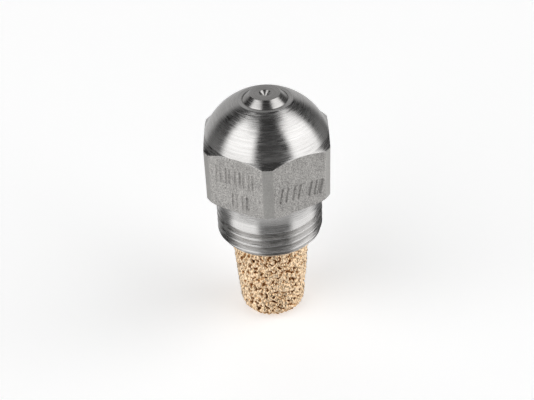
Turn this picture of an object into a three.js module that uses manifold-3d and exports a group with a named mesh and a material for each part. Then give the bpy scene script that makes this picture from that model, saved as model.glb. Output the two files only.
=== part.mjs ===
// An oil burner nozzle: a hexagon body with a domed face, the orifice disc and swirl parts held inside it
// by a hollow screw, and a sintered bronze inlet filter screwed into its threaded shank.
// Units are millimetres. +Z runs along the spray axis towards the orifice, and a corner of the hexagon
// faces -Y. The origin is the centre of the filter's closed end.

import * as THREE from 'three';
import { mergeVertices } from 'three/addons/utils/BufferGeometryUtils.js';
import Module from 'manifold-3d';

const wasm = await Module();
wasm.setup();

// ---- Driving dimensions --------------------------------------------------------------------------

const INCH = 25.4;
const PITCH = INCH / 24; // all three threads are 24 turns to the inch
const THREAD_DEPTH = 0.6; // crest to root
const CREST_SHARE = 0.14; // width of the flat crest, as a share of the pitch
const RUN_OUT_TURNS = 0.125; // the last part of a groove, over which it leaves the bar
const ROUND_SIDES = 48; // facets on a turned surface; a multiple of 6, so that they meet the hexagon
const INNER_SIDES = 24; // facets on the threaded parts inside
const DOME_STEPS = 10;
const TIP_STEPS = 8;

const SEAT_GAP = 0.05; // between two parts that bear on each other
const OVERCUT = 1; // how far a cutter runs past the face it opens
const SHANK_END_Z = 12.8; // height of the shank's rear face above the filter's closed end

// The body's own heights are measured from the rear face of its shank.
const BODY = {
  acrossFlats: (5 / 8) * INCH,
  cornerRadius: 8.815, // the hexagon's corners are turned off to this radius
  shankRadius: 7.1, // crests of the 9/16-24 thread
  shankEndRadius: 6.25,
  shankChamfer: 0.92,
  grooveTurns: 5.625, // of the thread, from one pitch behind the shank; a whole number of facets
  neckTop: 5.65, // where the shank starts to flare towards the hexagon
  flareRadius: 7.6,
  underside: 7.85,
  undersideRadius: 8.4,
  undersideSlope: 0.55, // rise per millimetre of radius on the chamfer under the hexagon
  kneeRadius: 7.93, // where the dome meets the chamfer on top of the hexagon
  kneeSlope: 0.65,
  domeRadius: 8.62,
  domeCentre: 12.44,
  frontFace: 20.32,
};
const BORE = {
  filterThread: { radius: 4.81, depth: 3.6 },
  screwThread: { radius: 4.02, depth: 14.6 },
  discPocket: { radius: 3.6, depth: 17.6 },
  noseHole: { radius: 2.92 },
};
const DISC = {
  flangeRadius: 3.55,
  flangeRear: 16.2,
  entryRadius: 2.5,
  entryDepth: 1.0,
  noseRadius: 2.86,
  tipRadius: 1.95,
  tip: 21.1, // the flat the spray leaves from
  orificeRadius: 0.16,
  countersinkRadius: 0.75,
  countersinkDepth: 0.5,
};
const SWIRL = {
  tipRadius: 0.55,
  headRadius: 2.2,
  headRear: 15.6,
  stemRadius: 1.1,
  stemRear: 12.6,
  slots: 3,
  slotWidth: 0.5,
  slotDepth: 0.4,
  slotOffset: 0.35, // from the axis, so that the oil enters the swirl chamber at a tangent
};
const SCREW = {
  threadRadius: 3.97, // 5/16-24
  rear: 8.0,
  threadTop: 14.1,
  noseRadius: 2.6,
  boreRadius: 1.5,
  crossHoleRadius: 0.45,
  crossHoleSides: 16,
  slotWidth: 1.0,
  slotDepth: 1.2,
  chamfer: 0.4,
};
const ADAPTER = {
  threadRadius: 4.76, // 3/8-24
  threadRelief: 0.8, // plain length between the flange and the thread
  stubTop: 3.3,
  stubChamfer: 0.4,
  flangeRadius: 5.3,
  flangeThickness: 0.6,
  flangeChamfer: 0.15,
  spigotRadius: 3.9,
  spigotLength: 2.6,
  boreRadius: 2.6,
};
const FILTER = {
  mouthRadius: 5.4,
  tipRadius: 4.63,
  tipRounding: 1.7,
  socketRadius: 3.95,
  socketDepth: 2.8,
  cavityTopRadius: 3.4,
  cavityTipRadius: 2.9,
  endThickness: 1.8,
};

// ---- Solids --------------------------------------------------------------------------------------

// A closed geometry as a solid.
function solid(geometry) {
  const bare = geometry.clone();
  bare.deleteAttribute('normal');
  bare.deleteAttribute('uv');
  const merged = mergeVertices(bare, 1e-4);
  return new wasm.Manifold(
    new wasm.Mesh({
      numProp: 3,
      vertProperties: merged.getAttribute('position').array,
      triVerts: new Uint32Array(merged.index.array),
    }),
  );
}

// A turned solid from a profile of [radius, height] pairs that runs up its outer side.
function turned(profile, sides = ROUND_SIDES) {
  const points = profile.map(([radius, height]) => new THREE.Vector2(radius, height));
  return solid(new THREE.LatheGeometry(points, sides).rotateX(Math.PI / 2));
}

// [radius, height] pairs along a circular arc whose centre is on the axis.
function arcProfile(radius, centre, fromHeight, toHeight, steps) {
  const from = Math.asin((fromHeight - centre) / radius);
  const to = Math.asin((toHeight - centre) / radius);
  return Array.from({ length: steps + 1 }, (_, i) => {
    const angle = from + ((to - from) * i) / steps;
    return [radius * Math.cos(angle), centre + radius * Math.sin(angle)];
  });
}

// A right-handed helix whose end swings outwards, so that a groove cut along it runs out.
class ThreadHelix extends THREE.Curve {
  constructor(radius, from, turns, runOut) {
    super();
    this.radius = radius;
    this.from = from;
    this.turns = turns;
    this.runOut = runOut;
  }

  getPoint(t, target = new THREE.Vector3()) {
    const turned = t * this.turns;
    const intoRunOut = Math.max(0, 1 - (this.turns - turned) / RUN_OUT_TURNS);
    const radius = this.radius + this.runOut * intoRunOut;
    return target.set(
      radius * Math.cos(2 * Math.PI * turned),
      radius * Math.sin(2 * Math.PI * turned),
      this.from + turned * PITCH,
    );
  }

  // Equal steps of angle, so that the groove's facets line up with the bar's.
  getPointAt(t, target) {
    return this.getPoint(t, target);
  }

  // Frames that keep the groove's profile square to the axis instead of rolling along the curve.
  computeFrenetFrames(segments) {
    const frames = { tangents: [], normals: [], binormals: [] };
    for (let i = 0; i <= segments; i++) {
      const point = this.getPointAt(i / segments);
      const outward = new THREE.Vector3(point.x, point.y, 0).normalize();
      const down = new THREE.Vector3(0, 0, -1);
      frames.normals.push(outward);
      frames.binormals.push(down);
      frames.tangents.push(new THREE.Vector3().crossVectors(outward, down));
    }
    return frames;
  }
}

// The material between the crests of a 60 degree thread, to be cut from a bar of the crest radius.
function threadGroove(crestRadius, from, turns, sides = ROUND_SIDES) {
  const crestHalf = ((1 - CREST_SHARE) * PITCH) / 2;
  const flank = Math.tan(Math.PI / 6);
  const rootHalf = crestHalf - THREAD_DEPTH * flank;
  const proud = 0.2; // how far the cutter stands outside the crests
  const profile = new THREE.Shape([
    new THREE.Vector2(-THREAD_DEPTH, -rootHalf),
    new THREE.Vector2(proud, -crestHalf - proud * flank),
    new THREE.Vector2(proud, crestHalf + proud * flank),
    new THREE.Vector2(-THREAD_DEPTH, rootHalf),
  ]);
  const path = new ThreadHelix(crestRadius, from, turns, THREAD_DEPTH + proud);
  return solid(new THREE.ExtrudeGeometry(profile, { extrudePath: path, steps: turns * sides }));
}

// ---- Parts ---------------------------------------------------------------------------------------

function nozzleBody() {
  const b = BODY;
  const knee = b.domeCentre + Math.sqrt(b.domeRadius ** 2 - b.kneeRadius ** 2);
  const cornerTop = knee - (b.cornerRadius - b.kneeRadius) * b.kneeSlope;
  const cornerBottom = b.underside + (b.cornerRadius - b.undersideRadius) * b.undersideSlope;
  const blank = turned([
    [0, 0],
    [b.shankEndRadius, 0],
    [b.shankRadius, b.shankChamfer],
    [b.shankRadius, b.neckTop],
    [b.flareRadius, b.underside],
    [b.undersideRadius, b.underside],
    [b.cornerRadius, cornerBottom],
    [b.cornerRadius, cornerTop],
    ...arcProfile(b.domeRadius, b.domeCentre, knee, b.frontFace, DOME_STEPS),
    [0, b.frontFace],
  ]);
  const acrossCorners = b.acrossFlats / Math.cos(Math.PI / 6);
  const hexagonLength = 2 * (b.frontFace + OVERCUT); // it is centred on the rear face
  const hexagon = new THREE.CylinderGeometry(acrossCorners / 2, acrossCorners / 2, hexagonLength, 6);
  const bores = turned([
    [0, -OVERCUT],
    [BORE.filterThread.radius, -OVERCUT],
    [BORE.filterThread.radius, BORE.filterThread.depth],
    [BORE.screwThread.radius, BORE.filterThread.depth],
    [BORE.screwThread.radius, BORE.screwThread.depth],
    [BORE.discPocket.radius, BORE.screwThread.depth],
    [BORE.discPocket.radius, BORE.discPocket.depth],
    [BORE.noseHole.radius, BORE.discPocket.depth],
    [BORE.noseHole.radius, b.frontFace + OVERCUT],
    [0, b.frontFace + OVERCUT],
  ]);
  return blank
    .intersect(solid(hexagon.rotateX(Math.PI / 2)))
    .subtract(threadGroove(b.shankRadius, -PITCH, b.grooveTurns))
    .subtract(bores);
}

// Height of the disc's 45 degree inner cone at a radius.
function innerCone(radius) {
  return DISC.flangeRear + DISC.entryDepth + DISC.entryRadius - radius;
}

function orificeDisc() {
  const d = DISC;
  const flangeFront = BORE.discPocket.depth - SEAT_GAP;
  const landEnd = d.tip - d.countersinkDepth;
  return turned([
    [d.entryRadius, d.flangeRear],
    [d.flangeRadius, d.flangeRear],
    [d.flangeRadius, flangeFront],
    [d.noseRadius, flangeFront],
    [d.noseRadius, BODY.frontFace],
    [d.tipRadius, d.tip],
    [d.countersinkRadius, d.tip],
    [d.orificeRadius, landEnd],
    [d.orificeRadius, innerCone(d.orificeRadius)],
    [d.entryRadius, innerCone(d.entryRadius)],
    [d.entryRadius, d.flangeRear],
  ]);
}

function swirlDistributor() {
  const s = SWIRL;
  const tip = innerCone(s.tipRadius) - SEAT_GAP;
  const coneBase = innerCone(s.headRadius) - SEAT_GAP;
  const plug = turned([
    [0, s.stemRear],
    [s.stemRadius, s.stemRear],
    [s.stemRadius, s.headRear],
    [s.headRadius, s.headRear],
    [s.headRadius, coneBase],
    [s.tipRadius, tip],
    [0, tip],
  ]);
  // Each slot follows the 45 degree cone from the head's side to the flat at its tip.
  const middle = (s.headRadius + s.tipRadius) / 2;
  const slot = new THREE.BoxGeometry(2 * s.headRadius, s.slotWidth, 2 * s.slotDepth)
    .rotateY(Math.PI / 4)
    .translate(middle, s.slotOffset, (coneBase + tip) / 2);
  let cut = plug;
  for (let i = 0; i < s.slots; i++) {
    const turn = (i * 2 * Math.PI) / s.slots;
    cut = cut.subtract(solid(slot.clone().rotateZ(turn)));
  }
  return cut;
}

function lockScrew() {
  const s = SCREW;
  const nose = SWIRL.headRear - SEAT_GAP;
  const profile = [
    [s.boreRadius, s.rear],
    [s.threadRadius - s.chamfer, s.rear],
    [s.threadRadius, s.rear + s.chamfer],
    [s.threadRadius, s.threadTop],
    [s.noseRadius, s.threadTop],
    [s.noseRadius, nose],
    [s.boreRadius, nose],
    [s.boreRadius, s.rear],
  ];
  const grooveTurns = Math.ceil((s.threadTop - s.rear) / PITCH) + 2; // past both ends
  const slot = new THREE.BoxGeometry(3 * s.threadRadius, s.slotWidth, 2 * s.slotDepth);
  const crossHole = new THREE.CylinderGeometry(
    s.crossHoleRadius,
    s.crossHoleRadius,
    3 * s.noseRadius,
    s.crossHoleSides,
  );
  const crossHoleHeight = (s.threadTop + nose) / 2;
  const alongX = crossHole.clone().rotateZ(Math.PI / 2).translate(0, 0, crossHoleHeight);
  const alongY = crossHole.clone().translate(0, 0, crossHoleHeight);
  return turned(profile, INNER_SIDES)
    .subtract(threadGroove(s.threadRadius, s.rear - PITCH, grooveTurns, INNER_SIDES))
    .subtract(solid(slot.translate(0, 0, s.rear)))
    .subtract(solid(alongX))
    .subtract(solid(alongY));
}

function filterAdapter() {
  const a = ADAPTER;
  const flangeTop = -SEAT_GAP;
  const flangeBottom = flangeTop - a.flangeThickness;
  const spigotEnd = flangeBottom - a.spigotLength;
  const profile = [
    [a.boreRadius, spigotEnd],
    [a.spigotRadius - a.flangeChamfer, spigotEnd],
    [a.spigotRadius, spigotEnd + a.flangeChamfer],
    [a.spigotRadius, flangeBottom],
    [a.flangeRadius - a.flangeChamfer, flangeBottom],
    [a.flangeRadius, flangeBottom + a.flangeChamfer],
    [a.flangeRadius, flangeTop - a.flangeChamfer],
    [a.flangeRadius - a.flangeChamfer, flangeTop],
    [a.threadRadius, flangeTop],
    [a.threadRadius, a.stubTop - a.stubChamfer],
    [a.threadRadius - a.stubChamfer, a.stubTop],
    [a.boreRadius, a.stubTop],
    [a.boreRadius, spigotEnd],
  ];
  const grooveTurns = Math.ceil(a.stubTop / PITCH); // past the stub's end
  return turned(profile, INNER_SIDES)
    .subtract(threadGroove(a.threadRadius, a.threadRelief, grooveTurns, INNER_SIDES));
}

// The filter's heights are measured from its closed end.
function sinteredFilter() {
  const f = FILTER;
  const mouth = SHANK_END_Z - 2 * SEAT_GAP - ADAPTER.flangeThickness;
  const rounding = Array.from({ length: TIP_STEPS + 1 }, (_, i) => {
    const angle = (i / TIP_STEPS) * (Math.PI / 2);
    return [
      f.tipRadius - f.tipRounding * (1 - Math.sin(angle)),
      f.tipRounding * (1 - Math.cos(angle)),
    ];
  });
  return turned([
    [0, 0],
    ...rounding,
    [f.mouthRadius, mouth],
    [f.socketRadius, mouth],
    [f.socketRadius, mouth - f.socketDepth],
    [f.cavityTopRadius, mouth - f.socketDepth],
    [f.cavityTipRadius, f.endThickness],
    [0, f.endThickness],
  ]);
}

// ---- Assembly ------------------------------------------------------------------------------------

const STEEL = { color: 0xa9a8a6, roughness: 0.34, metalness: 1 };
const BRIGHT_STEEL = { color: 0xb9b8b6, roughness: 0.25, metalness: 1 };
const BRASS = { color: 0xc4a05a, roughness: 0.35, metalness: 1 };
const BRONZE = { color: 0xc9a477, roughness: 0.55, metalness: 1 };

// A named mesh of a solid, in a material of its own.
function part(name, shape, finish) {
  const { vertProperties, triVerts } = shape.getMesh();
  const geometry = new THREE.BufferGeometry();
  geometry.setAttribute('position', new THREE.BufferAttribute(vertProperties, 3));
  geometry.setIndex(new THREE.BufferAttribute(triVerts, 1));
  geometry.computeVertexNormals();
  const mesh = new THREE.Mesh(geometry, new THREE.MeshStandardMaterial(finish));
  mesh.name = name;
  return mesh;
}

// Everything whose heights are measured from the shank's rear face.
const body = new THREE.Group();
body.position.z = SHANK_END_Z;
body.add(
  part('nozzle_body', nozzleBody(), STEEL),
  part('orifice_disc', orificeDisc(), BRIGHT_STEEL),
  part('swirl_distributor', swirlDistributor(), BRIGHT_STEEL),
  part('lock_screw', lockScrew(), BRASS),
  part('filter_adapter', filterAdapter(), BRASS),
);

const nozzle = new THREE.Group();
nozzle.add(body, part('sintered_filter', sinteredFilter(), BRONZE));

export default nozzle;
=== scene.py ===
"""An oil burner nozzle in turned steel, brass and sintered bronze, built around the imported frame.

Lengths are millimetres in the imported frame; build() turns them into Blender's metres.
"""

import math

import bmesh
import bpy
import numpy as np
from mathutils import Matrix, Vector


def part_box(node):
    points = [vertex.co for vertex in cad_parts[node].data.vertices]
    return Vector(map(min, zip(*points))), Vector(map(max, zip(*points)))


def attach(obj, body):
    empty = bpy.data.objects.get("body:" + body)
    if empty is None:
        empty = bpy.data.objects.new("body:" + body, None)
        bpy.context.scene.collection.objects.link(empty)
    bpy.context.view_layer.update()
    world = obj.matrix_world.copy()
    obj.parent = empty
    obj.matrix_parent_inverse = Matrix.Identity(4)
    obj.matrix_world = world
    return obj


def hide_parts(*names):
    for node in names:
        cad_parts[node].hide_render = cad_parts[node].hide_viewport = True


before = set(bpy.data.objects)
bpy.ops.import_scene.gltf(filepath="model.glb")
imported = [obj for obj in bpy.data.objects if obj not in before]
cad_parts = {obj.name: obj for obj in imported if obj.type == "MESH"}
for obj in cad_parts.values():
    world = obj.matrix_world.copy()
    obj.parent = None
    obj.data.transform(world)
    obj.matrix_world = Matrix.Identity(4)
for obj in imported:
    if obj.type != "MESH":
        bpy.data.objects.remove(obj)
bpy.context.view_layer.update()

MM = 0.001
TURN = 2 * math.pi


def node_box(node):
    """Low and high corner of a CAD node's box."""
    low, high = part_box(node)
    return np.array(low) / MM, np.array(high) / MM


# ---- Sizes ---------------------------------------------------------------------------------------

PITCH = 25.4 / 24
THREAD_DEPTH = 0.6
CREST_SHARE = 0.14  # width of the flat crest, as a share of the pitch
FLANK = math.tan(math.radians(30))  # half a groove's width per millimetre of depth
RUN_OUT = 0.8  # how far a groove rises where it starts or ends
RUN_IN_TURNS = 0.25
RUN_OUT_TURNS = 0.125

BODY_LOW, BODY_HIGH = node_box("nozzle_body")
DISC_LOW, DISC_HIGH = node_box("orifice_disc")
SWIRL_LOW, SWIRL_HIGH = node_box("swirl_distributor")
SCREW_LOW, SCREW_HIGH = node_box("lock_screw")
ADAPTER_LOW, ADAPTER_HIGH = node_box("filter_adapter")
_, FILTER_HIGH = node_box("sintered_filter")

SHANK_END = BODY_LOW[2]
FACE = BODY_HIGH[2]
HALF_FLATS = BODY_HIGH[0]
CORNER_R = BODY_HIGH[1]
BAND_ANGLE = math.acos(HALF_FLATS / CORNER_R)  # from the middle of a flat to the turned corner

DOME_R = 8.62
DOME_CENTRE = SHANK_END + 12.44
RIM_R = math.sqrt(DOME_R**2 - (FACE - DOME_CENTRE) ** 2)  # where the dome meets the front face
KNEE_R = 7.93  # where the dome meets the chamfer on top of the hexagon
KNEE = DOME_CENTRE + math.sqrt(DOME_R**2 - KNEE_R**2)
KNEE_SLOPE = 0.65  # fall per millimetre of radius on that chamfer
UNDERSIDE = SHANK_END + 7.85
UNDERSIDE_R = 8.4
UNDERSIDE_SLOPE = 0.55  # rise per millimetre of radius on the chamfer under the hexagon
FLATS_MIDDLE = UNDERSIDE + 3.6
NECK_TOP = SHANK_END + 5.65  # the shank flares from here to the hexagon's underside
FLARE_R = 7.6
SHANK_R = 7.1
SHANK_END_R = 6.25
SHANK_CHAMFER = 0.92
GROOVE_TURNS = 5.625  # of the shank's thread, from one pitch behind its end

ADAPTER_BORE_R, ADAPTER_BORE_DEPTH = 4.81, 3.6
SCREW_BORE_R, SCREW_BORE_DEPTH = 4.02, 14.6
DISC_BORE_R, DISC_BORE_DEPTH = 3.6, 17.6
NOSE_HOLE_R = 2.91
SEAT_GAP = 0.05  # between two parts that bear on each other

NOSE_R = 2.88
NOSE_TIP_R = 1.95
ORIFICE_R = 0.16
COUNTERSINK_R = 0.75
COUNTERSINK_DEPTH = 0.5


# ---- Meshes --------------------------------------------------------------------------------------

MERGE_DISTANCE = 2e-4
SHORTEST_EDGE = 1e-5
TINY = 1e-9  # a length or an angle that counts as nothing
FILLET_STEPS = 4
FILLET_SHARE = 0.45  # the most that a fillet takes of a side


def build(name, vertices, faces, materials, face_materials=None, sharp_degrees=35):
    """A mesh object from millimetre vertices, doubled ones merged, with its faces turned outwards."""
    mesh = bpy.data.meshes.new(name)
    mesh.from_pydata([tuple(v) for v in vertices], [], faces)
    for material in materials:
        mesh.materials.append(material)
    if face_materials is not None:
        mesh.polygons.foreach_set("material_index", face_materials)
    bm = bmesh.new()
    bm.from_mesh(mesh)
    bmesh.ops.remove_doubles(bm, verts=bm.verts, dist=MERGE_DISTANCE)
    bmesh.ops.dissolve_degenerate(bm, dist=SHORTEST_EDGE, edges=bm.edges)
    bmesh.ops.recalc_face_normals(bm, faces=bm.faces)
    bmesh.ops.scale(bm, vec=(MM, MM, MM), verts=bm.verts)
    bm.to_mesh(mesh)
    bm.free()
    mesh.polygons.foreach_set("use_smooth", [True] * len(mesh.polygons))
    mesh.set_sharp_from_angle(angle=math.radians(sharp_degrees))
    piece = bpy.data.objects.new(name, mesh)
    bpy.context.scene.collection.objects.link(piece)
    return piece


def rounded(corners, steps=FILLET_STEPS):
    """[(r, z)] along [(r, z, fillet)]: steps + 1 points at each filleted corner, one at each sharp one."""
    points = [np.array(c[:2], float) for c in corners]
    out = []
    for i, corner in enumerate(corners):
        here = points[i]
        if corner[2] == 0 or i in (0, len(corners) - 1):
            out.append(here)
            continue
        before, after = points[i - 1] - here, points[i + 1] - here
        room = FILLET_SHARE * min(np.linalg.norm(before), np.linalg.norm(after))
        before = before / max(np.linalg.norm(before), TINY)
        after = after / max(np.linalg.norm(after), TINY)
        half = 0.5 * math.acos(float(np.clip(before @ after, -1, 1)))
        reach = min(corner[2] / max(math.tan(half), TINY), room)
        for k in range(steps + 1):
            t = k / steps
            # a parabola through the corner's two tangent points is as good as an arc at this size
            out.append(here + before * reach * (1 - t) ** 2 + after * reach * t**2)
    return out


def arc(radius, centre, from_z, to_z, steps):
    """(r, z) along a circle about the axis, without its last point."""
    start, end = (math.asin((z - centre) / radius) for z in (from_z, to_z))
    angles = np.linspace(start, end, steps + 1)[:-1]
    return [(radius * math.cos(a), centre + radius * math.sin(a)) for a in angles]


def grid_faces(columns, rows):
    """Quads of a grid whose vertex number is column * rows + row."""
    faces = []
    for j in range(columns - 1):
        for i in range(rows - 1):
            k = j * rows + i
            faces.append((k, k + 1, k + rows + 1, k + rows))
    return faces


def spun(angles, profiles):
    """Vertices of a surface of revolution, one (r, z) profile to each angle, column by column."""
    out = np.empty((len(angles), len(profiles[0]), 3))
    for j, (angle, profile) in enumerate(zip(angles, profiles)):
        rz = np.array(profile)
        out[j, :, 0] = rz[:, 0] * math.cos(angle)
        out[j, :, 1] = rz[:, 0] * math.sin(angle)
        out[j, :, 2] = rz[:, 1]
    return out


def even_angles(count):
    """Angles of count columns over one turn, with the first one repeated at the end."""
    return np.linspace(0, TURN, count + 1)


def thread_form():
    """(height from the groove's middle, depth) over one pitch, from crest to crest."""
    crest_half = (1 - CREST_SHARE) * PITCH / 2
    root_half = crest_half - THREAD_DEPTH * FLANK
    edge, hollow = 0.035, 0.05  # the roundings of the crest's edge and of the root
    upper = [
        (root_half - hollow, THREAD_DEPTH),
        (root_half + 0.3 * hollow, THREAD_DEPTH - 0.6 * hollow),
        (root_half + hollow, THREAD_DEPTH - hollow / FLANK * 0.9),
        (0.5 * (root_half + crest_half), THREAD_DEPTH / 2),
        (crest_half - edge, edge / FLANK),
        (crest_half - 0.2 * edge, 0.3 * edge),
        (crest_half + 0.8 * edge, 0),
    ]
    lower = [(-dz, depth) for dz, depth in reversed(upper)]
    return [(-PITCH / 2, 0)] + lower + [(0, THREAD_DEPTH)] + upper


def threaded(angle, radius, low, high, groove_start, turns=math.inf, end_radius=None):
    """(r, z) down a threaded stretch at one angle.

    The groove rises out of the metal after its turns; end_radius(z) is a chamfer that cuts the thread away.
    """
    form = thread_form()
    highest = int((high - groove_start) / PITCH) + 2
    lowest = math.floor((low - groove_start) / PITCH) - 1
    out = []
    for k in range(highest, lowest - 1, -1):
        turned = k + angle / TURN
        faded = RUN_OUT * max(0.0, 1 - (turns - turned) / RUN_OUT_TURNS, 1 - turned / RUN_IN_TURNS)
        for dz, depth in reversed(form):
            z = groove_start + PITCH * turned + dz
            out.append([radius - max(0.0, depth - faded), z])
    for point in out:
        if point[1] >= high or point[1] <= low:
            point[1] = min(max(point[1], low), high)
            point[0] = radius
    if end_radius is not None:
        cut_by_chamfer(out, end_radius)
    return [tuple(p) for p in out]


def cut_by_chamfer(points, end_radius):
    """Limits the radii to the chamfer's, and moves the nearer point of each crossing on to the crossing."""
    over = [p[0] - end_radius(p[1]) for p in points]
    for i in range(len(points) - 1):
        a, b = over[i], over[i + 1]
        if a * b >= 0 or points[i][1] == points[i + 1][1]:
            continue
        t = a / (a - b)
        z = points[i][1] + t * (points[i + 1][1] - points[i][1])
        r = points[i][0] + t * (points[i + 1][0] - points[i][0])
        nearer = i if t < 0.5 else i + 1
        points[nearer][0], points[nearer][1] = r, z
    for point in points:
        point[0] = min(point[0], end_radius(point[1]))


# ---- Body ----------------------------------------------------------------------------------------

TURNED, FLAT, THREAD, CORNER = range(4)  # the body's materials, in their order in nozzle_body()
MARKED_FLATS = (240, 300)  # directions of the two flats that carry stamped marks
FINE = 8  # a marked flat has this many times the columns of a plain one
DOME_STEPS = 24
FLAT_STEPS = 16
FLAT_ROWS = 88
BAND_COLUMNS = 3  # on half of a turned corner
EDGE_SPREAD = np.radians([-0.9, -0.5, -0.2, 0, 0.2, 0.5, 0.9])  # columns at each edge of a turned corner
EDGE_SOFTNESS = 0.03
LEAST_CHAMFER = 0.02  # width of the chamfer under the middle of a flat
CREST_TOLERANCE = 0.02
LEFT_STROKE = (0.3, 0.065)  # width and depth of the marks
RIGHT_STROKE = (0.42, 0.12)
LIP_PLACE, LIP_WIDTH = 0.62, 0.16  # of the raised lip along a mark, as shares of the mark's width
LIP_HEIGHT = 0.45  # as a share of the mark's depth
LIP_LIMIT = 0.2  # no lip where a mark is deeper than this share of its depth


def from_flat(angle):
    """Angle from the middle of the nearest flat."""
    return abs((angle + TURN / 12) % (TURN / 6) - TURN / 12)


def hexagon_radius(angle):
    """Outline of the hexagon with its corners turned off, very slightly softened where the two meet."""
    flat = HALF_FLATS / math.cos(from_flat(angle))
    near = max(EDGE_SOFTNESS - abs(flat - CORNER_R), 0) / EDGE_SOFTNESS
    return min(flat, CORNER_R) - near * near * EDGE_SOFTNESS / 4


def body_columns():
    """(angle, coarse) pairs for one turn; the coarse columns do for everything but the marked flats."""
    columns = []
    across = HALF_FLATS * math.tan(BAND_ANGLE + EDGE_SPREAD[0])
    for flat in range(0, 360, 60):
        middle = math.radians(flat)
        fine = FINE if flat in MARKED_FLATS else 1
        ts = np.linspace(-across, across, FLAT_STEPS * fine + 1)
        for band in np.linspace(-TURN / 12, -BAND_ANGLE - EDGE_SPREAD[-1], BAND_COLUMNS)[:-1]:
            columns.append((middle + band, True))
        for spread in EDGE_SPREAD[:0:-1]:
            columns.append((middle - BAND_ANGLE - spread, True))
        for i, t in enumerate(ts):
            columns.append((middle + math.atan(t / HALF_FLATS), i % fine == 0))
        for spread in EDGE_SPREAD[1:]:
            columns.append((middle + BAND_ANGLE + spread, True))
        for band in np.linspace(BAND_ANGLE + EDGE_SPREAD[-1], TURN / 12, BAND_COLUMNS)[1:-1]:
            columns.append((middle + band, True))
    columns.append((columns[0][0] + TURN, True))
    return columns


def outer_profile(angle):
    """(r, z) from the front rim over the dome and down the hexagon to its underside, and the flat's rows."""
    hexagon = hexagon_radius(angle)
    top = KNEE - (hexagon - KNEE_R) * KNEE_SLOPE
    inner = min(hexagon - LEAST_CHAMFER, UNDERSIDE_R)
    bottom = UNDERSIDE + (hexagon - inner) * UNDERSIDE_SLOPE
    dome = arc(DOME_R, DOME_CENTRE, FACE, KNEE, DOME_STEPS)
    rim = rounded([(RIM_R - 0.3, FACE, 0), (RIM_R, FACE, 0.05), (*dome[1], 0)])[:-1]
    shoulder = rounded([
        (*dome[-1], 0), (KNEE_R, KNEE, 1.2), (hexagon, top, 0.035), (hexagon, bottom, 0.06),
        (inner, UNDERSIDE, 0.05), (inner - 0.2, UNDERSIDE, 0),
    ])
    corner = 1 + 2 * (FILLET_STEPS + 1)  # points up to the flat's upper edge
    above, below = shoulder[:corner], shoulder[corner:]
    flat = np.linspace(above[-1], below[0], FLAT_ROWS + 2)[1:-1]
    profile = rim + dome[1:-1] + above + list(flat) + below
    first = len(rim) + len(dome) - 2 + len(above)
    return [tuple(p) for p in profile], (first, first + FLAT_ROWS)


def lower_profile(angle):
    """(r, z) from the hexagon's underside down the shank, round its end and up the bores to the face."""

    def end_radius(z):
        return SHANK_END_R + (SHANK_R - SHANK_END_R) * (z - SHANK_END) / SHANK_CHAMFER

    s = SHANK_END
    neck = rounded([(FLARE_R + 0.3, UNDERSIDE, 0), (FLARE_R, UNDERSIDE, 0.1), (SHANK_R, NECK_TOP, 0)])
    thread = threaded(angle, SHANK_R, s, NECK_TOP, s - PITCH, GROOVE_TURNS, end_radius)
    bores = rounded([
        (SHANK_END_R, s, 0), (ADAPTER_BORE_R + 0.24, s, 0.04), (ADAPTER_BORE_R, s + 0.24, 0.04),
        (ADAPTER_BORE_R, s + ADAPTER_BORE_DEPTH, 0.1), (SCREW_BORE_R + 0.28, s + ADAPTER_BORE_DEPTH, 0.04),
        (SCREW_BORE_R, s + ADAPTER_BORE_DEPTH + 0.3, 0.04), (SCREW_BORE_R, s + SCREW_BORE_DEPTH, 0.1),
        (DISC_BORE_R, s + SCREW_BORE_DEPTH, 0.04), (DISC_BORE_R, s + DISC_BORE_DEPTH, 0.1),
        (NOSE_HOLE_R, s + DISC_BORE_DEPTH, 0.04), (NOSE_HOLE_R, FACE, 0.02), (NOSE_HOLE_R + 0.15, FACE, 0),
    ], steps=2)
    return neck[:-1] + thread + [tuple(p) for p in bores[1:]]


def stroke_marks():
    """Plain strokes for the two marked flats: (flat, across, up, across, up, width, depth)."""
    left, right = MARKED_FLATS
    strokes = []
    for across in (-2.8, -2.2, -1.4, -0.9, -0.1, 0.6, 1.1, 1.9, 2.4):
        strokes.append((left, across, 0.4, across + 0.05, 2.6, *LEFT_STROKE))
    for across in (-0.6, 0.0, 0.8, 1.5):
        strokes.append((left, across, -3.0, across + 0.05, -0.9, *LEFT_STROKE))
    for across in (-2.9, -2.1, -1.1, -0.3, 1.3, 2.1, 2.9):
        rise = -0.1 * across
        strokes.append((right, across, rise - 1.7, across + 0.4, rise + 0.2, *RIGHT_STROKE))
    return strokes


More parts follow.
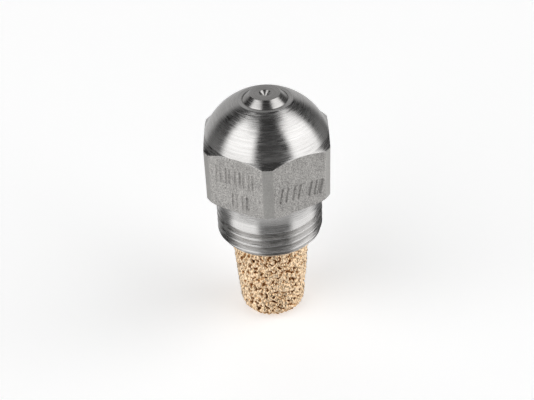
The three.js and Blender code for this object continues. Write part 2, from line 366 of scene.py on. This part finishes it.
def engraved(vertices, angles, rows):
    """Presses the strokes into the flats, with a fine raised lip along each."""
    first, last = rows
    for flat in MARKED_FLATS:
        middle = math.radians(flat)
        normal = np.array([math.cos(middle), math.sin(middle), 0])
        along = np.array([-math.sin(middle), math.cos(middle), 0])
        turns = [(angle - middle + TURN / 2) % TURN - TURN / 2 for angle in angles]
        on_flat = [j for j, turn in enumerate(turns) if abs(turn) < BAND_ANGLE]
        patch = vertices[on_flat, first:last]
        across = patch @ along
        up = patch[..., 2] - FLATS_MIDDLE
        push = np.zeros(across.shape)
        for owner, x0, y0, x1, y1, width, depth in stroke_marks():
            if owner != flat:
                continue
            span = np.array([x1 - x0, y1 - y0])
            t = np.clip(((across - x0) * span[0] + (up - y0) * span[1]) / (span @ span), 0, 1)
            away = np.hypot(across - x0 - t * span[0], up - y0 - t * span[1])
            cut = np.clip(1 - away / (width / 2), 0, 1)
            cut = cut * cut * (3 - 2 * cut)
            lip = LIP_HEIGHT * np.exp(-(((away / width - LIP_PLACE) / LIP_WIDTH) ** 2))
            push = np.minimum(push, -depth * cut) + depth * lip * (push > -LIP_LIMIT * depth)
        vertices[on_flat, first:last] += push[..., None] * normal
    return vertices


def nozzle_body(turned_steel, flat_steel, thread_steel, corner_steel):
    """The body: an upper grid down to the hexagon's underside, and a coarser lower one for the rest."""
    columns = body_columns()
    angles = [a for a, _ in columns]
    coarse = [j for j, (_, is_coarse) in enumerate(columns) if is_coarse]
    profiles, rows = [], None
    for angle in angles:
        profile, rows = outer_profile(angle)
        profiles.append(profile)
    upper = spun(angles, profiles)
    upper = engraved(upper, angles, rows)
    lower = spun([angles[j] for j in coarse], [lower_profile(angles[j]) for j in coarse])
    upper_rows, lower_rows = upper.shape[1], lower.shape[1]
    faces = grid_faces(len(angles), upper_rows)
    kinds = []
    # the hexagon's metal takes one row of the fillet above it and one of the fillet below it
    for angle in angles[:-1]:
        side = CORNER if from_flat(angle) > BAND_ANGLE - TINY else FLAT
        kinds += [side if rows[0] - 2 <= i < rows[1] + 1 else TURNED for i in range(upper_rows - 1)]
    offset = len(angles) * upper_rows
    lower_faces = grid_faces(len(coarse), lower_rows)
    faces += [tuple(offset + v for v in face) for face in lower_faces]
    depth = SHANK_R - np.hypot(lower[..., 0], lower[..., 1]).ravel()
    height = lower[..., 2].ravel()
    # the neck and the thread's crests are turned steel, and all other faces of the lower grid thread steel
    plain = (depth < CREST_TOLERANCE) & (height > SHANK_END + SHANK_CHAMFER)
    kinds += [TURNED if plain[list(face)].all() else THREAD for face in lower_faces]
    # two flat rings join the fine columns above to the coarse ones below: the underside and the front rim
    for n, (j, k) in enumerate(zip(coarse, coarse[1:])):
        under = [j_fine * upper_rows + upper_rows - 1 for j_fine in range(j, k + 1)]
        faces.append(tuple(under) + (offset + (n + 1) * lower_rows, offset + n * lower_rows))
        rim = [j_fine * upper_rows for j_fine in range(j, k + 1)]
        inside = offset + (n + 1) * lower_rows - 1, offset + (n + 2) * lower_rows - 1
        faces.append(tuple(reversed(rim)) + inside)
        kinds += [TURNED, TURNED]
    materials = [turned_steel, flat_steel, thread_steel, corner_steel]
    vertices = np.concatenate([upper.reshape(-1, 3), lower.reshape(-1, 3)])
    return build("nozzle_body_finished", vertices, faces, materials, kinds, sharp_degrees=30)


# ---- Turned parts --------------------------------------------------------------------------------

CUTTER_SIDES = 40
SEAM = 0.5  # from an end, where the outline of a bored part starts and ends


def lathe(name, corners, material, columns=120):
    """A turned piece from its closed outline of (r, z, fillet) corners."""
    profile = rounded(corners)
    angles = even_angles(columns)
    vertices = spun(angles, [profile] * len(angles))
    return build(name, vertices.reshape(-1, 3), grid_faces(len(angles), len(profile)), [material])


def threaded_lathe(name, above, thread, below, material, columns=96):
    """A turned piece with one threaded stretch between two plain stretches of its outline."""
    angles = even_angles(columns)
    first, last = rounded(above, steps=3), rounded(below, steps=3)
    profiles = [first + threaded(a, **thread) + last for a in angles]
    vertices = spun(angles, profiles)
    return build(name, vertices.reshape(-1, 3), grid_faces(len(angles), len(profiles[0])), [material])


def cut(piece, cutters, sharp_degrees=30):
    """Cuts closed meshes out of a piece and removes them."""
    for cutter in cutters:
        modifier = piece.modifiers.new("cut", "BOOLEAN")
        modifier.operation = "DIFFERENCE"
        modifier.solver = "EXACT"
        modifier.object = cutter
    bpy.context.view_layer.update()
    mesh = bpy.data.meshes.new_from_object(piece.evaluated_get(bpy.context.evaluated_depsgraph_get()))
    piece.modifiers.clear()
    piece.data = mesh
    for cutter in cutters:
        bpy.data.objects.remove(cutter)
    mesh.set_sharp_from_angle(angle=math.radians(sharp_degrees))


def cutter_box(size, place):
    """A rectangular cutter; place is a matrix in millimetres."""
    bm = bmesh.new()
    bmesh.ops.create_cube(bm, size=1, matrix=place @ Matrix.Diagonal((*size, 1)))
    return cutter_object(bm)


def cutter_rod(radius, length, place):
    """A round cutter along its own z; place is a matrix in millimetres."""
    bm = bmesh.new()
    bmesh.ops.create_cone(bm, cap_ends=True, segments=CUTTER_SIDES, radius1=radius, radius2=radius,
                          depth=length, matrix=place)
    return cutter_object(bm)


def cutter_object(bm):
    """A millimetre bmesh as an object that cut() can take."""
    bmesh.ops.scale(bm, vec=(MM, MM, MM), verts=bm.verts)
    mesh = bpy.data.meshes.new("cutter")
    bm.to_mesh(mesh)
    bm.free()
    cutter = bpy.data.objects.new("cutter", mesh)
    bpy.context.scene.collection.objects.link(cutter)
    return cutter


def orifice_disc(material):
    rear, tip = DISC_LOW[2], DISC_HIGH[2]
    flange_r, entry_r, entry_depth = DISC_HIGH[0], 2.5, 1.0
    flange_front = SHANK_END + DISC_BORE_DEPTH - SEAT_GAP
    cone = rear + entry_depth
    seam = rear + 0.4
    return lathe("orifice_disc_finished", [
        (entry_r, seam, 0), (entry_r, rear, 0.03), (flange_r, rear, 0.08), (flange_r, flange_front, 0.06),
        (NOSE_R, flange_front, 0.05), (NOSE_R, FACE - 0.03, 0.03), (NOSE_TIP_R, tip, 0.06),
        (COUNTERSINK_R, tip, 0.05), (ORIFICE_R, tip - COUNTERSINK_DEPTH, 0.02),
        (ORIFICE_R, cone + entry_r - ORIFICE_R, 0.02), (entry_r, cone, 0.05), (entry_r, seam, 0),
    ], material, columns=160)


def swirl_distributor(material):
    rear, tip = SWIRL_LOW[2], SWIRL_HIGH[2]
    head_r, tip_r, stem_r = SWIRL_HIGH[0], 0.55, 1.1
    slot_count, slot_width, slot_depth, slot_offset = 3, 0.5, 0.4, 0.35
    head_rear = SHANK_END + 15.6
    base = tip - (head_r - tip_r)
    piece = lathe("swirl_distributor_finished", [
        (0, rear, 0), (stem_r, rear, 0.12), (stem_r, head_rear, 0.06), (head_r, head_rear, 0.06),
        (head_r, base, 0.04), (tip_r, tip, 0.04), (0, tip, 0),
    ], material)
    # each slot follows the 45 degree cone from the head's side to the flat at its tip
    place = Matrix.Translation(((head_r + tip_r) / 2, slot_offset, (base + tip) / 2))
    place = place @ Matrix.Rotation(TURN / 8, 4, "Y")
    slots = []
    for i in range(slot_count):
        turn = Matrix.Rotation(i * TURN / slot_count, 4, "Z")
        slots.append(cutter_box((2 * head_r, slot_width, 2 * slot_depth), turn @ place))
    cut(piece, slots)
    return piece


def lock_screw(material):
    rear, nose = SCREW_LOW[2], SCREW_HIGH[2]
    radius, nose_r, bore_r, chamfer = SCREW_HIGH[0], 2.6, 1.5, 0.4
    hole_r, slot_width, slot_depth = 0.45, 1.0, 1.2
    top = SHANK_END + 14.1
    seam = nose - SEAM

    def end_radius(z):
        return radius - chamfer + min(z - rear, top - z)

    piece = threaded_lathe(
        "lock_screw_finished",
        [(bore_r, seam, 0), (bore_r, nose, 0.06), (nose_r, nose, 0.1), (nose_r, top, 0.06),
         (radius - chamfer, top, 0)],
        dict(radius=radius, low=rear, high=top, groove_start=rear - PITCH, end_radius=end_radius),
        [(radius - chamfer, rear, 0), (bore_r + 0.2, rear, 0.05), (bore_r, rear + 0.2, 0.05),
         (bore_r, seam, 0)],
        material,
    )
    across = Matrix.Rotation(TURN / 4, 4, "Y"), Matrix.Rotation(TURN / 4, 4, "X")
    hole_height = Matrix.Translation((0, 0, (top + nose) / 2))
    cutters = [cutter_rod(hole_r, 3 * nose_r, hole_height @ turn) for turn in across]
    cutters.append(cutter_box((3 * radius, slot_width, 2 * slot_depth), Matrix.Translation((0, 0, rear))))
    cut(piece, cutters)
    return piece


def filter_adapter(material):
    low, top = ADAPTER_LOW[2], ADAPTER_HIGH[2]
    radius, flange_r, spigot_r, bore_r, chamfer = 4.76, ADAPTER_HIGH[0], 3.9, 2.6, 0.4
    flange_top = SHANK_END - SEAT_GAP
    flange_low = flange_top - 0.6
    plain_top = flange_top + 0.1
    relief = 0.8  # from the shank's end to the first groove
    seam = top - SEAM

    def end_radius(z):
        return radius - chamfer + (top - z)

    return threaded_lathe(
        "filter_adapter_finished",
        [(bore_r, seam, 0), (bore_r, top, 0.15), (radius - chamfer, top, 0)],
        dict(radius=radius, low=plain_top, high=top, groove_start=SHANK_END + relief, end_radius=end_radius),
        [(radius, plain_top, 0), (radius, flange_top, 0.04), (flange_r, flange_top, 0.12),
         (flange_r, flange_low, 0.12), (spigot_r, flange_low, 0.03), (spigot_r, low, 0.12),
         (bore_r, low, 0.1), (bore_r, seam, 0)],
        material,
    )


# ---- Sintered filter -----------------------------------------------------------------------------

TIP_R = 4.63
TIP_ROUNDING = 1.7
SOCKET_R, SOCKET_DEPTH = 3.95, 2.75
CAVITY_TOP_R, CAVITY_TIP_R = 3.4, 2.9
END_THICKNESS = 1.8
GRAIN_R = (0.24, 0.3)  # smallest and largest
SPACING = 0.53
SHAKE = 0.3  # as a share of the spacing
PORES = 0.02  # share of the outer grains that are missing
LAYER = 0.38  # from the outer grains to the inner ones
MOUTH_LAYER = 0.34  # from the outer grains to the solid wall at the mouth
MOUTH_GAP = 0.1  # between the wall's end and the filter's mouth
VOXEL = 0.078
GOLDEN = TURN * (1 - 2 / (1 + math.sqrt(5)))


def filter_outline(inset):
    """(r, z) of the filter's outside, moved inwards, from the middle of its closed end to its mouth."""
    rounding = TIP_ROUNDING - inset
    tip_r = TIP_R - inset
    out = [(0, inset)]
    for a in np.linspace(0, TURN / 4, 13):
        out.append((tip_r - rounding * (1 - math.sin(a)), inset + rounding * (1 - math.cos(a))))
    out.append((FILTER_HIGH[0] - inset, FILTER_HIGH[2] - 0.5 * inset))
    return np.array(out)


def scattered(outline, random):
    """Points over an outline's surface of revolution, on a golden-angle spiral, shaken but not outwards."""
    steps = np.diff(outline, axis=0)
    areas = np.hypot(*steps.T) * (outline[:-1, 0] + outline[1:, 0]) * TURN / 2
    reached = np.concatenate([[0], np.cumsum(areas)])
    count = int(reached[-1] / (SPACING * SPACING * math.sqrt(0.75)))
    points = []
    for i in range(count):
        area = reached[-1] * (i + 0.5) / count
        r, z = (np.interp(area, reached, outline[:, k]) for k in (0, 1))
        around = np.array([math.cos(i * GOLDEN), math.sin(i * GOLDEN), 0])
        step_r, step_z = steps[np.searchsorted(reached, area) - 1]
        outward = (step_z * around - (0, 0, step_r)) / math.hypot(step_r, step_z)
        shake = SHAKE * SPACING * (2 * random.random_sample(3) - 1)
        points.append(r * around + (0, 0, z) + shake - 2 * max(0, shake @ outward) * outward)
    return points


def sphere_template():
    """Vertices and faces of a unit sphere."""
    bm = bmesh.new()
    bmesh.ops.create_icosphere(bm, subdivisions=2, radius=1)
    vertices = np.array([v.co for v in bm.verts])
    faces = [tuple(v.index for v in f.verts) for f in bm.faces]
    bm.free()
    return vertices, faces


def filter_wall():
    """(r, z) of the solid wall behind the grains, from the middle of the closed end round to its inside."""
    mouth = FILTER_HIGH[2] - MOUTH_GAP
    return np.array([
        *filter_outline(GRAIN_R[1] + LAYER)[:-1], (FILTER_HIGH[0] - GRAIN_R[1] - MOUTH_LAYER, mouth),
        (SOCKET_R, mouth), (SOCKET_R, mouth - SOCKET_DEPTH), (CAVITY_TOP_R, mouth - SOCKET_DEPTH),
        (CAVITY_TIP_R, END_THICKNESS), (0, END_THICKNESS),
    ])


def sintered_filter(material):
    """Two layers of grains on a solid wall, fused by a remesh."""
    random = np.random.RandomState(7)
    unit, unit_faces = sphere_template()
    vertices, faces = [], []
    count = 0
    for depth, missing in ((GRAIN_R[1], PORES), (GRAIN_R[1] + LAYER, 0)):
        for centre in scattered(filter_outline(depth), random):
            if random.random() < missing:
                continue
            size = GRAIN_R[0] + (GRAIN_R[1] - GRAIN_R[0]) * random.random()
            vertices.append(unit * size + centre)
            faces += [tuple(count + v for v in face) for face in unit_faces]
            count += len(unit)
    wall = filter_wall()
    angles = even_angles(96)
    vertices.append(spun(angles, [wall] * len(angles)).reshape(-1, 3))
    faces += [tuple(count + v for v in face) for face in grid_faces(len(angles), len(wall))]
    # fused at a thousand times its size, because Blender's voxels are never smaller than 0.1 mm
    rough = build("grains", np.concatenate(vertices) / MM, faces, [material])
    modifier = rough.modifiers.new("fuse", "REMESH")
    modifier.mode = "VOXEL"
    modifier.voxel_size = VOXEL
    modifier.use_smooth_shade = True
    bpy.context.view_layer.update()
    mesh = bpy.data.meshes.new_from_object(rough.evaluated_get(bpy.context.evaluated_depsgraph_get()))
    bpy.data.objects.remove(rough)
    mesh.transform(Matrix.Scale(MM, 4))
    mesh.name = "sintered_filter_finished"
    piece = bpy.data.objects.new("sintered_filter_finished", mesh)
    bpy.context.scene.collection.objects.link(piece)
    return piece


# ---- Materials -----------------------------------------------------------------------------------

class Nodes:
    """A node tree under construction; node() makes a node and sets its sockets from values or outputs."""

    def __init__(self, tree):
        self.tree = tree
        self.tree.nodes.clear()

    def node(self, kind, sockets=(), **settings):
        made = self.tree.nodes.new("ShaderNode" + kind)
        for key, value in settings.items():
            setattr(made, key, value)
        for key, value in dict(sockets).items():
            self.set(made.inputs[key], value)
        return made

    def set(self, socket, value):
        if isinstance(value, bpy.types.NodeSocket):
            self.tree.links.new(value, socket)
        else:
            socket.default_value = value

    def math(self, operation, *values):
        made = self.node("Math", operation=operation)
        for socket, value in zip(made.inputs, values):
            self.set(socket, value)
        return made.outputs[0]

    def ramp(self, factor, stops):
        made = self.node("ValToRGB", {"Fac": factor})
        ramp = made.color_ramp
        while len(ramp.elements) < len(stops):
            ramp.elements.new(1)
        for element, (place, colour) in zip(ramp.elements, stops):
            element.position = place
            element.color = (*colour, 1)
        return made.outputs["Color"]

    def grey_ramp(self, factor, stops):
        return self.ramp(factor, [(place, (grey, grey, grey)) for place, grey in stops])

    def remap(self, value, low, high, from_low=0.0, from_high=1.0):
        made = self.node("MapRange", {"Value": value, "From Min": from_low, "From Max": from_high,
                                      "To Min": low, "To Max": high})
        return made.outputs[0]

    def blend(self, factor, first, second, kind="MIX"):
        made = self.node("Mix", data_type="RGBA", blend_type=kind)
        for key, value in (("Factor", factor), ("A", first), ("B", second)):
            matching = [i for i in made.inputs if i.name == key and i.enabled]
            self.set(matching[0], value)
        return [o for o in made.outputs if o.enabled][0]


class Shader(Nodes):
    """A material's node tree, in the object's own coordinates."""

    def __init__(self, name):
        self.material = bpy.data.materials.new(name)
        self.material.use_nodes = True
        super().__init__(self.material.node_tree)
        self.place = self.node("TexCoord").outputs["Object"]
        self.x, self.y, self.z = self.node("SeparateXYZ", {"Vector": self.place}).outputs
        self.radius = self.math("SQRT", self.math("ADD", self.math("MULTIPLY", self.x, self.x),
                                                  self.math("MULTIPLY", self.y, self.y)))

    def noise(self, scale, detail=2.0, roughness=0.5):
        """Even noise; scale is its cycles per millimetre."""
        made = self.node("TexNoise", {"Vector": self.place, "Scale": scale / MM, "Detail": detail,
                                      "Roughness": roughness})
        return made.outputs["Fac"]

    def drawn_noise(self, around, across, detail=2.0):
        """Noise drawn out along rings about the axis, in cycles per millimetre along and across them."""
        joined = self.node("CombineXYZ", {
            "X": self.math("MULTIPLY", self.x, around / MM),
            "Y": self.math("MULTIPLY", self.y, around / MM),
            "Z": self.math("MULTIPLY", self.z, across / MM),
        })
        made = self.node("TexNoise", {
            "Vector": joined.outputs[0],
            "W": self.math("MULTIPLY", self.radius, across / MM),
            "Scale": 1.0,
            "Detail": detail,
        }, noise_dimensions="4D")
        return made.outputs["Fac"]

    def bump(self, height, distance, below=None):
        sockets = {"Strength": 1.0, "Distance": distance * MM, "Height": height}
        if below is not None:
            sockets["Normal"] = below
        return self.node("Bump", sockets).outputs[0]

    def finish(self, sockets):
        surface = self.node("BsdfPrincipled", sockets)
        self.node("OutputMaterial", {"Surface": surface.outputs[0]})
        return self.material


def turned_metal(name, colour, dark, roughness, anisotropy=0.88, scratches=0.008):
    """Metal off the lathe: fine rings, with short scratches along them that stretch its highlights."""
    s = Shader(name)
    rings = s.drawn_noise(0.15, 8, detail=3)
    streaks = s.drawn_noise(0.8, 7, detail=3)
    tangent = s.node("Tangent", direction_type="RADIAL", axis="Z").outputs[0]
    tint = s.ramp(s.math("ADD", s.math("MULTIPLY", rings, 0.5), s.math("MULTIPLY", streaks, 0.5)),
                  [(0.32, dark), (0.62, colour)])
    return s.finish({
        "Base Color": tint,
        "Metallic": 1.0,
        "Roughness": s.remap(streaks, roughness * 0.5, roughness * 1.5, 0.3, 0.7),
        "Anisotropic": anisotropy,
        "Anisotropic Rotation": 0.25,
        "Tangent": tangent,
        "Normal": s.bump(streaks, scratches, s.bump(rings, 0.3 * scratches)),
    })


def ground_metal(name, colour, dark, roughness, grain_depth):
    """The hexagon's flats and corners: matt, with a coarse grain and faint upright scratches."""
    s = Shader(name)
    grain = s.noise(6.5, detail=3, roughness=0.65)
    stretched = s.node("CombineXYZ", {
        "X": s.math("MULTIPLY", s.x, 5 / MM),
        "Y": s.math("MULTIPLY", s.y, 5 / MM),
        "Z": s.math("MULTIPLY", s.z, 0.6 / MM),
    })
    lines = s.node("TexNoise", {"Vector": stretched.outputs[0], "Scale": 1.0, "Detail": 2.0})
    upright = lines.outputs["Fac"]
    cloud = s.noise(0.5)
    weighed = s.math("ADD", s.math("MULTIPLY", grain, 0.75),
                     s.math("ADD", s.math("MULTIPLY", upright, 0.12), s.math("MULTIPLY", cloud, 0.13)))
    return s.finish({
        "Base Color": s.ramp(weighed, [(0.38, dark), (0.62, colour)]),
        "Metallic": 1.0,
        "Roughness": s.remap(grain, roughness * 0.85, roughness * 1.15),
        "Normal": s.bump(grain, grain_depth),
    })


def sintered_bronze(name):
    """Fused granules, each a little different in colour, with painted shade that darkens them down in the
    pores.
    """
    s = Shader(name)
    cells = s.node("TexVoronoi", {"Vector": s.place, "Scale": 2.2 / MM}, feature="F1")
    shade = s.node("SeparateColor", {"Color": cells.outputs["Color"]}).outputs[0]
    # depth below the filter's outer cone, which drives the painted pore shade below
    slope = (FILTER_HIGH[0] - TIP_R) / FILTER_HIGH[2]
    wall = s.math("ADD", s.math("MULTIPLY", s.z, slope), TIP_R * MM)
    side_depth = s.math("SUBTRACT", wall, s.radius)
    depth = s.math("DIVIDE", s.math("MINIMUM", side_depth, s.z), 0.6 * MM)
    tint = s.ramp(shade, [(0.0, (0.80, 0.58, 0.36)), (0.5, (0.90, 0.67, 0.44)), (1.0, (0.98, 0.77, 0.54))])
    # painted shade: the colour darkens with that depth, standing in for the shade that falls down in the
    # pores
    painted_pore_shade = s.ramp(depth, [(0.45, (1, 1, 1)), (0.8, (0.66, 0.51, 0.35)), (1.0, (0.42, 0.29, 0.16))])
    return s.finish({
        "Base Color": s.blend(1.0, tint, painted_pore_shade, "MULTIPLY"),
        "Metallic": 0.9,
        "Roughness": s.remap(shade, 0.2, 0.42),
        "Normal": s.bump(s.noise(9, detail=2), 0.003),
    })


# ---- Pieces --------------------------------------------------------------------------------------

steel = dict(colour=(0.68, 0.67, 0.66), dark=(0.46, 0.45, 0.44))
brass = dict(colour=(0.80, 0.62, 0.30), dark=(0.66, 0.49, 0.22))
turned_steel = turned_metal("turned_steel", roughness=0.26, anisotropy=0.85, **steel)
thread_steel = turned_metal("thread_steel", (0.62, 0.61, 0.60), (0.40, 0.39, 0.38), 0.3,
                            anisotropy=0.2, scratches=0.012)
nose_steel = turned_metal("nose_steel", (0.54, 0.53, 0.52), (0.36, 0.35, 0.34), 0.26, anisotropy=0.7)
swirl_steel = turned_metal("swirl_steel", roughness=0.25, **steel)
screw_brass = turned_metal("screw_brass", roughness=0.25, **brass)
adapter_brass = turned_metal("adapter_brass", roughness=0.28, **brass)
flat_steel = ground_metal("flat_steel", (0.65, 0.635, 0.612), (0.25, 0.241, 0.233), 0.58, 0.035)
corner_steel = ground_metal("corner_steel", (0.62, 0.61, 0.59), (0.47, 0.46, 0.445), 0.72, 0.01)

body_metals = turned_steel, flat_steel, thread_steel, corner_steel

PIECES = [
    (nozzle_body(*body_metals), "nozzle_body", "body", "body_steel"),
    (orifice_disc(nose_steel), "orifice_disc", "disc", "orifice_steel"),
    (swirl_distributor(swirl_steel), "swirl_distributor", "distributor", "swirl_steel"),
    (lock_screw(screw_brass), "lock_screw", "screw", "screw_brass"),
    (filter_adapter(adapter_brass), "filter_adapter", "filter", "adapter_brass"),
    (sintered_filter(sintered_bronze("sintered_bronze")), "sintered_filter", "filter", "sintered_bronze"),
]
for piece, node, body, slot in PIECES:
    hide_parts(node)
    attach(piece, body)


# ---- Stage ---------------------------------------------------------------------------------------

FLOOR_SIZE = 0.6
FLOOR_GLOW = 0.46
PANEL_LIGHT = 1.7
LIGHT_TURN = 11  # degrees, from straight in front towards +X
LIGHT_LEAN = 0.2  # how much wider the pattern around the axis is towards the top
BEHIND = 120  # degrees from the front

# The light's grey at each angle from the front, in degrees.
LIGHT_AROUND = [
    (0, 0.045), (28, 0.045), (40, 1.0), (88, 1.0), (101, 0.05), (132, 0.05), (147, 1.0), (156, 1.0),
]
# The rest go by elevation in degrees: what dims that pattern in front and behind, how far it gives way to
# an even light, and that even light's grey.
LIGHT_DIMMING = [(-90, 0.9), (-20, 0.9), (10, 1.0), (60, 1.0), (72, 0.3), (90, 0.3)]
LIGHT_BEHIND = [(-90, 0.55), (-25, 0.5), (0, 0.3), (25, 0.28), (45, 0.2), (90, 0.2)]
LIGHT_EVENING = [
    (-90, 1.0), (-58, 1.0), (-40, 0.15), (-10, 0.3), (0, 0.35), (25, 0.0), (60, 0.0), (76, 1.0),
]
LIGHT_AT_POLES = [(-90, 1.0), (-75, 0.6), (-58, 0.3), (0, 0.34), (45, 0.03), (90, 0.03)]


def floor():
    """A pale floor, always just under the filter, which is the lowest body at every pose.

    Metal doesn't reflect it: what metal sees below the horizon is part of surroundings().
    """
    bm = bmesh.new()
    bmesh.ops.create_grid(bm, x_segments=1, y_segments=1, size=FLOOR_SIZE)
    mesh = bpy.data.meshes.new("floor")
    bm.to_mesh(mesh)
    bm.free()
    plane = bpy.data.objects.new("floor", mesh)
    bpy.context.scene.collection.objects.link(plane)
    s = Shader("floor")
    white = (0.93, 0.93, 0.93, 1)
    mesh.materials.append(s.finish({"Base Color": white, "Roughness": 0.8, "Emission Color": white,
                                    "Emission Strength": FLOOR_GLOW}))
    plane.visible_glossy = False
    plane.visible_shadow = False
    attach(plane, "filter")


def surroundings():
    """Soft light by direction: dark in front, a tall soft panel on each side, a dark gap, grey behind."""
    world = bpy.data.worlds.new("studio")
    bpy.context.scene.world = world
    world.use_nodes = True
    s = Nodes(world.node_tree)
    direction = s.node("TexCoord").outputs["Generated"]
    turned = s.node("VectorRotate", {"Vector": direction, "Angle": -math.radians(LIGHT_TURN)},
                    rotation_type="Z_AXIS").outputs[0]
    x, y, z = s.node("SeparateXYZ", {"Vector": turned}).outputs
    straight = s.math("ABSOLUTE", s.math("ARCTAN2", x, s.math("MULTIPLY", y, -1.0)))
    from_front = s.math("MULTIPLY", straight, s.remap(s.math("MULTIPLY", z, z), 1.0, 1 - LIGHT_LEAN))
    half_turns = s.math("DIVIDE", from_front, math.pi)
    around = s.grey_ramp(half_turns, [(degrees / 180, grey) for degrees, grey in LIGHT_AROUND])
    height = s.math("ADD", s.math("DIVIDE", s.math("ARCSINE", z), math.pi), 0.5)

    def by_height(stops):
        return s.grey_ramp(height, [(degrees / 180 + 0.5, grey) for degrees, grey in stops])

    is_behind = s.math("GREATER_THAN", from_front, math.radians(BEHIND))
    dimming = s.blend(is_behind, by_height(LIGHT_DIMMING), by_height(LIGHT_BEHIND))
    sides = s.blend(1.0, around, dimming, "MULTIPLY")
    seen = s.blend(by_height(LIGHT_EVENING), sides, by_height(LIGHT_AT_POLES))
    cast = s.node("Background", {"Color": seen, "Strength": PANEL_LIGHT})
    white = s.node("Background", {"Color": (1, 1, 1, 1)})
    to_camera = s.node("LightPath").outputs["Is Camera Ray"]
    mix = s.node("MixShader", {"Fac": to_camera})
    s.tree.links.new(cast.outputs[0], mix.inputs[1])
    s.tree.links.new(white.outputs[0], mix.inputs[2])
    s.node("OutputWorld", {"Surface": mix.outputs[0]})


def camera():
    """At the photograph's viewing angle, looking down at the corner between two flats."""
    elevation, roll, yaw = math.radians(35.54), math.radians(-2.42), math.radians(0.87)
    aim, distance, aside, above = Vector((0, 0, SHANK_END + 8)), 127.74, 0.18, 2.69
    forward = Vector((0, math.cos(elevation), -math.sin(elevation)))
    right, up = Vector((1, 0, 0)), Vector((0, math.sin(elevation), math.cos(elevation)))
    right, up = math.cos(roll) * right + math.sin(roll) * up, math.cos(roll) * up - math.sin(roll) * right
    place = aim - distance * forward - aside * right - above * up
    turn = Matrix.Rotation(yaw, 4, "Z")
    pose = Matrix((right, up, -forward)).transposed().to_4x4()
    pose.translation = place * MM
    data = bpy.data.cameras.new("camera")
    data.sensor_width = 36
    data.lens = 65.1438
    data.clip_start = 0.005
    eye = bpy.data.objects.new("camera", data)
    eye.matrix_world = turn @ pose
    bpy.context.scene.collection.objects.link(eye)
    bpy.context.scene.camera = eye


floor()
surroundings()
camera()
bpy.context.scene.view_settings.view_transform = "Standard"
